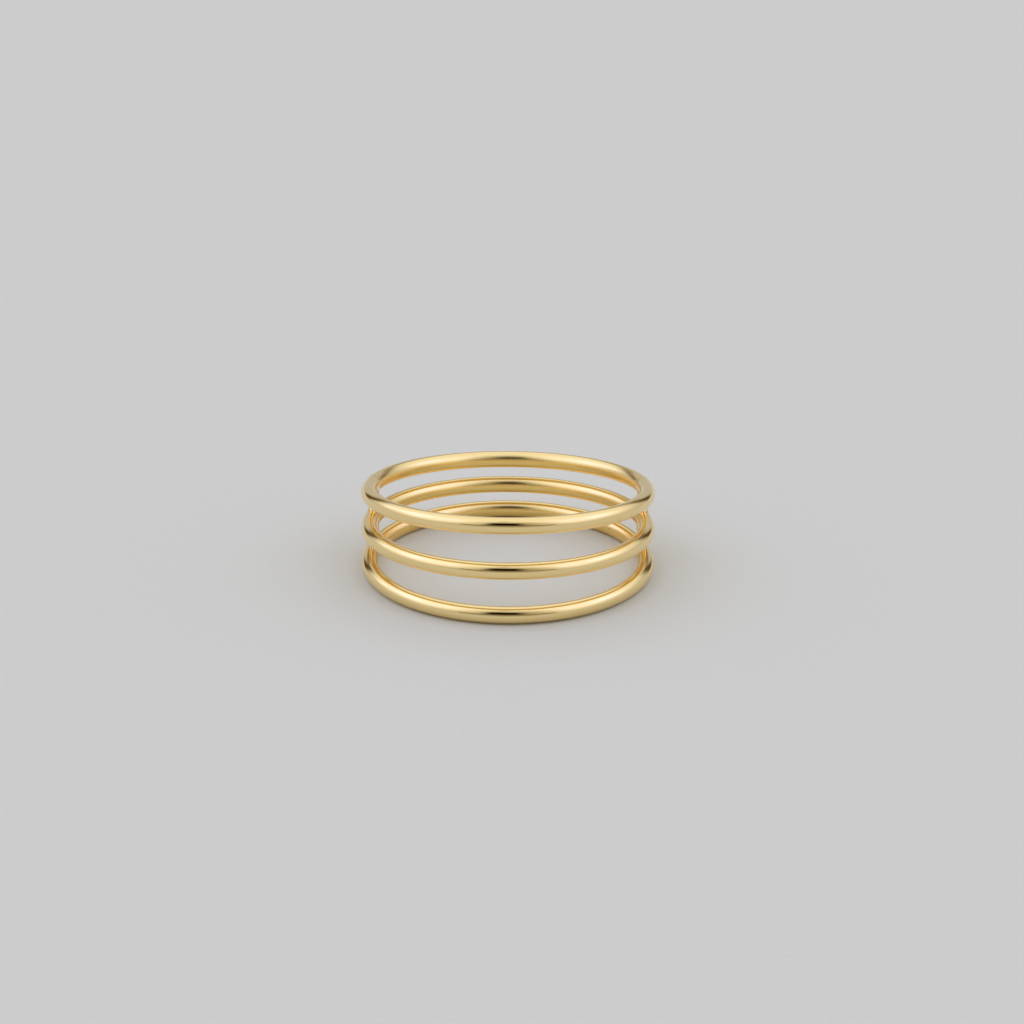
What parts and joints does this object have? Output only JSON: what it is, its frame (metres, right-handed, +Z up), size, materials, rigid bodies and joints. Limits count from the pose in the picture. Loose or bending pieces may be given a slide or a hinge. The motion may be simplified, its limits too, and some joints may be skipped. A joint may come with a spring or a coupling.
{
  "type": "finger ring",
  "caption": "Finger ring of thin round gold wire: hoops soldered one above another, close together at the back and fanned apart towards the front.",
  "frame": {"origin": "on the surface that the ring lies on, below the middle of its box", "axes": "+Z up, out of that surface; -Y towards the front, where the hoops are furthest apart; +X to the right as seen from the front"},
  "size_m": [0.0192, 0.0194, 0.007],
  "materials": {
    "polished_gold": "polished yellow gold"
  },
  "bodies": {
    "root": {"ring": "polished_gold"}
  },
  "joints": []
}
